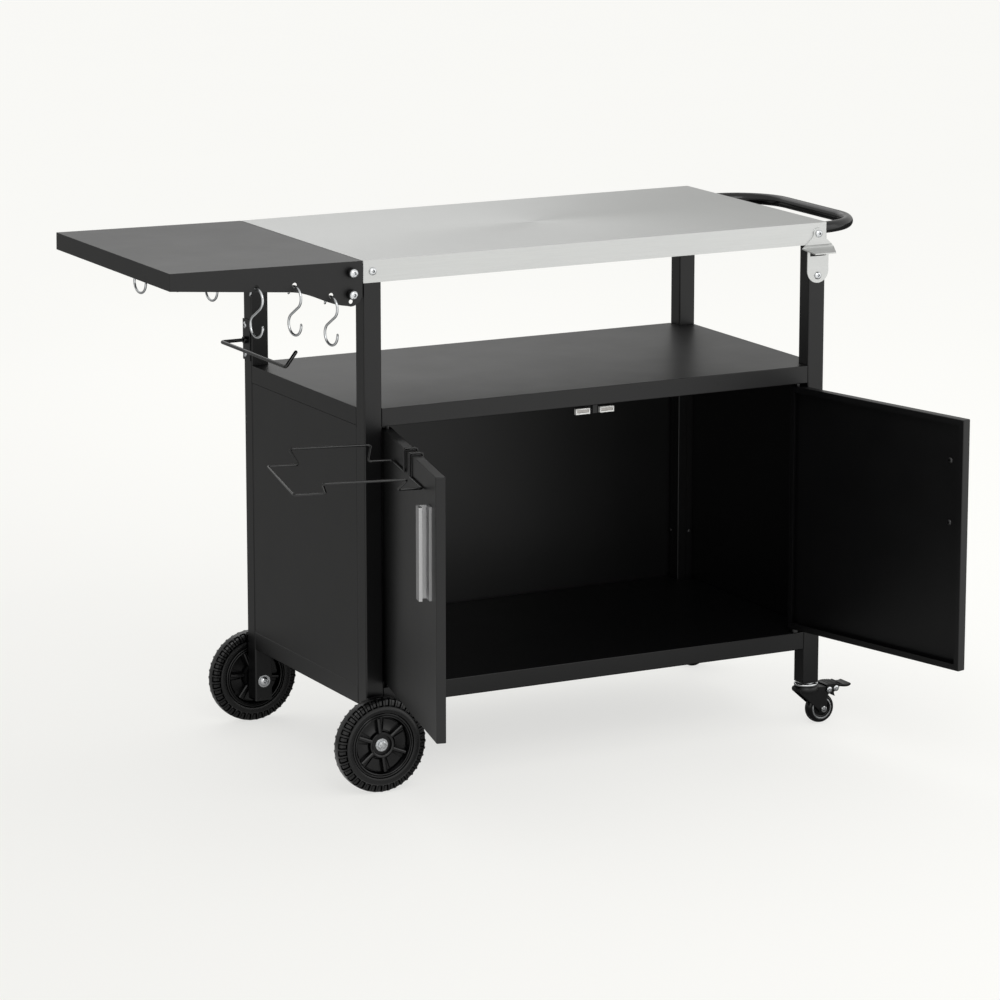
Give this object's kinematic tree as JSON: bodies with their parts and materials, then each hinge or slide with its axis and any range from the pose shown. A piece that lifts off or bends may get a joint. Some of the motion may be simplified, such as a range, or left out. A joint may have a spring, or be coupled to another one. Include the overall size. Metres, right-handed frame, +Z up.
{
  "type": "grill cart with storage",
  "caption": "Wheeled grill cart with a steel worktop, open bay, two-door cabinet, side shelf with hooks, bag ring, towel rod, bottle opener and push handle.",
  "frame": {"origin": "centre of the space that the cart fills with its doors open, on the floor", "axes": "+X along the cart from the side shelf to the push handle, +Y to the back, +Z up; the doors face -Y"},
  "size_m": [1.2704, 0.8298, 0.8423],
  "materials": {
    "stainless": "brushed",
    "hook_wire": "polished",
    "zinc": "zinc plated",
    "chrome": "bright",
    "alloy": "satin anodised",
    "black_coat": "semi-gloss powder coat",
    "plastic": "moulded",
    "tyre": "moulded tread",
    "magnet_frame": "moulded"
  },
  "bodies": {
    "cart": {"leg_front_left": "black_coat", "leg_front_right": "black_coat", "leg_rear_left": "black_coat", "leg_rear_right": "black_coat", "leg_plugs": "plastic", "worktop": "stainless", "frame_bolts": "zinc", "side_shelf": "black_coat", "side_shelf_brackets": "black_coat", "side_shelf_spacers": "plastic", "side_shelf_bolts": "zinc", "mid_shelf": "black_coat", "lower_shelf": "black_coat", "shelf_screws": "zinc", "side_panel_left": "black_coat", "side_panel_right": "black_coat", "back_panel": "black_coat", "panel_screws": "zinc", "push_handle": "black_coat", "handle_plugs": "zinc", "handle_bolts": "zinc", "bottle_opener": "stainless", "magnet_catch": "black_coat", "catch_magnets": "magnet_frame", "hinge_pins": "zinc", "hinge_washers": "plastic", "towel_plate": "black_coat", "towel_rod": "black_coat", "towel_screws": "zinc", "axle_bolts": "zinc", "axle_nuts": "zinc", "caster_races": "chrome", "caster_stems": "zinc"},
    "left_door": {"door_left": "black_coat", "door_handle_left": "alloy", "handle_screws_left": "zinc", "bag_holder": "black_coat"},
    "right_door": {"door_right": "black_coat", "door_handle_right": "alloy", "handle_screws_right": "zinc"},
    "front_wheel": {"wheel_tyre_front": "tyre", "wheel_hub_front": "plastic"},
    "rear_wheel": {"wheel_tyre_rear": "tyre", "wheel_hub_rear": "plastic"},
    "front_caster": {"caster_fork_front": "black_coat", "caster_pins_front": "zinc"},
    "front_caster_wheel": {"caster_tread_front": "tyre", "caster_core_front": "zinc"},
    "front_brake": {"caster_pedal_front": "black_coat"},
    "rear_caster": {"caster_fork_rear": "black_coat", "caster_pins_rear": "zinc"},
    "rear_caster_wheel": {"caster_tread_rear": "tyre", "caster_core_rear": "zinc"},
    "rear_brake": {"caster_pedal_rear": "black_coat"},
    "front_hook_1": {"hook_front_1": "hook_wire"},
    "front_hook_2": {"hook_front_2": "hook_wire"},
    "front_hook_3": {"hook_front_3": "hook_wire"},
    "rear_hook_1": {"hook_rear_1": "hook_wire"},
    "rear_hook_2": {"hook_rear_2": "hook_wire"},
    "rear_hook_3": {"hook_rear_3": "hook_wire"}
  },
  "joints": [
    {"name": "left_door_hinge", "type": "hinge", "parent": "cart", "child": "left_door", "pos_m": [-0.27033, -0.05458, 0.37], "axis": [0, 0, 1], "range_deg": [-12, 104]},
    {"name": "right_door_hinge", "type": "hinge", "parent": "cart", "child": "right_door", "pos_m": [0.47067, -0.05458, 0.37], "axis": [0, 0, 1], "range_deg": [-104, 12]},
    {"name": "front_wheel_spin", "type": "hinge", "parent": "cart", "child": "front_wheel", "pos_m": [-0.29833, -0.07908, 0.0762], "axis": [0, 1, 0], "continuous": true},
    {"name": "rear_wheel_spin", "type": "hinge", "parent": "cart", "child": "rear_wheel", "pos_m": [-0.29833, 0.40092, 0.0762], "axis": [0, 1, 0], "continuous": true},
    {"name": "front_caster_swivel", "type": "hinge", "parent": "cart", "child": "front_caster", "pos_m": [0.49867, -0.04758, 0.062], "axis": [0, 0, 1], "continuous": true},
    {"name": "front_caster_spin", "type": "hinge", "parent": "front_caster", "child": "front_caster_wheel", "pos_m": [0.52467, -0.04758, 0.025], "axis": [0, 1, 0], "continuous": true},
    {"name": "front_brake_press", "type": "hinge", "parent": "front_caster", "child": "front_brake", "pos_m": [0.53467, -0.04758, 0.057], "axis": [0, 1, 0], "range_deg": [0, 12]},
    {"name": "rear_caster_swivel", "type": "hinge", "parent": "cart", "child": "rear_caster", "pos_m": [0.49867, 0.36942, 0.062], "axis": [0, 0, 1], "continuous": true},
    {"name": "rear_caster_spin", "type": "hinge", "parent": "rear_caster", "child": "rear_caster_wheel", "pos_m": [0.52467, 0.36942, 0.025], "axis": [0, 1, 0], "continuous": true},
    {"name": "rear_brake_press", "type": "hinge", "parent": "rear_caster", "child": "rear_brake", "pos_m": [0.53467, 0.36942, 0.057], "axis": [0, 1, 0], "range_deg": [0, 12]},
    {"name": "front_hook_1_swing", "type": "hinge", "parent": "cart", "child": "front_hook_1", "pos_m": [-0.49321, -0.06333, 0.80929], "axis": [-0.1564, 0.9877, 0], "range_deg": [-40, 40]},
    {"name": "front_hook_2_swing", "type": "hinge", "parent": "cart", "child": "front_hook_2", "pos_m": [-0.42973, -0.06333, 0.80734], "axis": [-0.1564, 0.9877, 0], "range_deg": [-40, 40]},
    {"name": "front_hook_3_swing", "type": "hinge", "parent": "cart", "child": "front_hook_3", "pos_m": [-0.369, -0.06333, 0.78682], "axis": [-0.1564, 0.9877, 0], "range_deg": [-40, 40]},
    {"name": "rear_hook_1_swing", "type": "hinge", "parent": "cart", "child": "rear_hook_1", "pos_m": [-0.49321, 0.38517, 0.80929], "axis": [-0.1564, 0.9877, 0], "range_deg": [-40, 40]},
    {"name": "rear_hook_2_swing", "type": "hinge", "parent": "cart", "child": "rear_hook_2", "pos_m": [-0.42973, 0.38517, 0.80734], "axis": [-0.1564, 0.9877, 0], "range_deg": [-40, 40]},
    {"name": "rear_hook_3_swing", "type": "hinge", "parent": "cart", "child": "rear_hook_3", "pos_m": [-0.369, 0.38517, 0.78682], "axis": [-0.1564, 0.9877, 0], "range_deg": [-40, 40]}
  ]
}
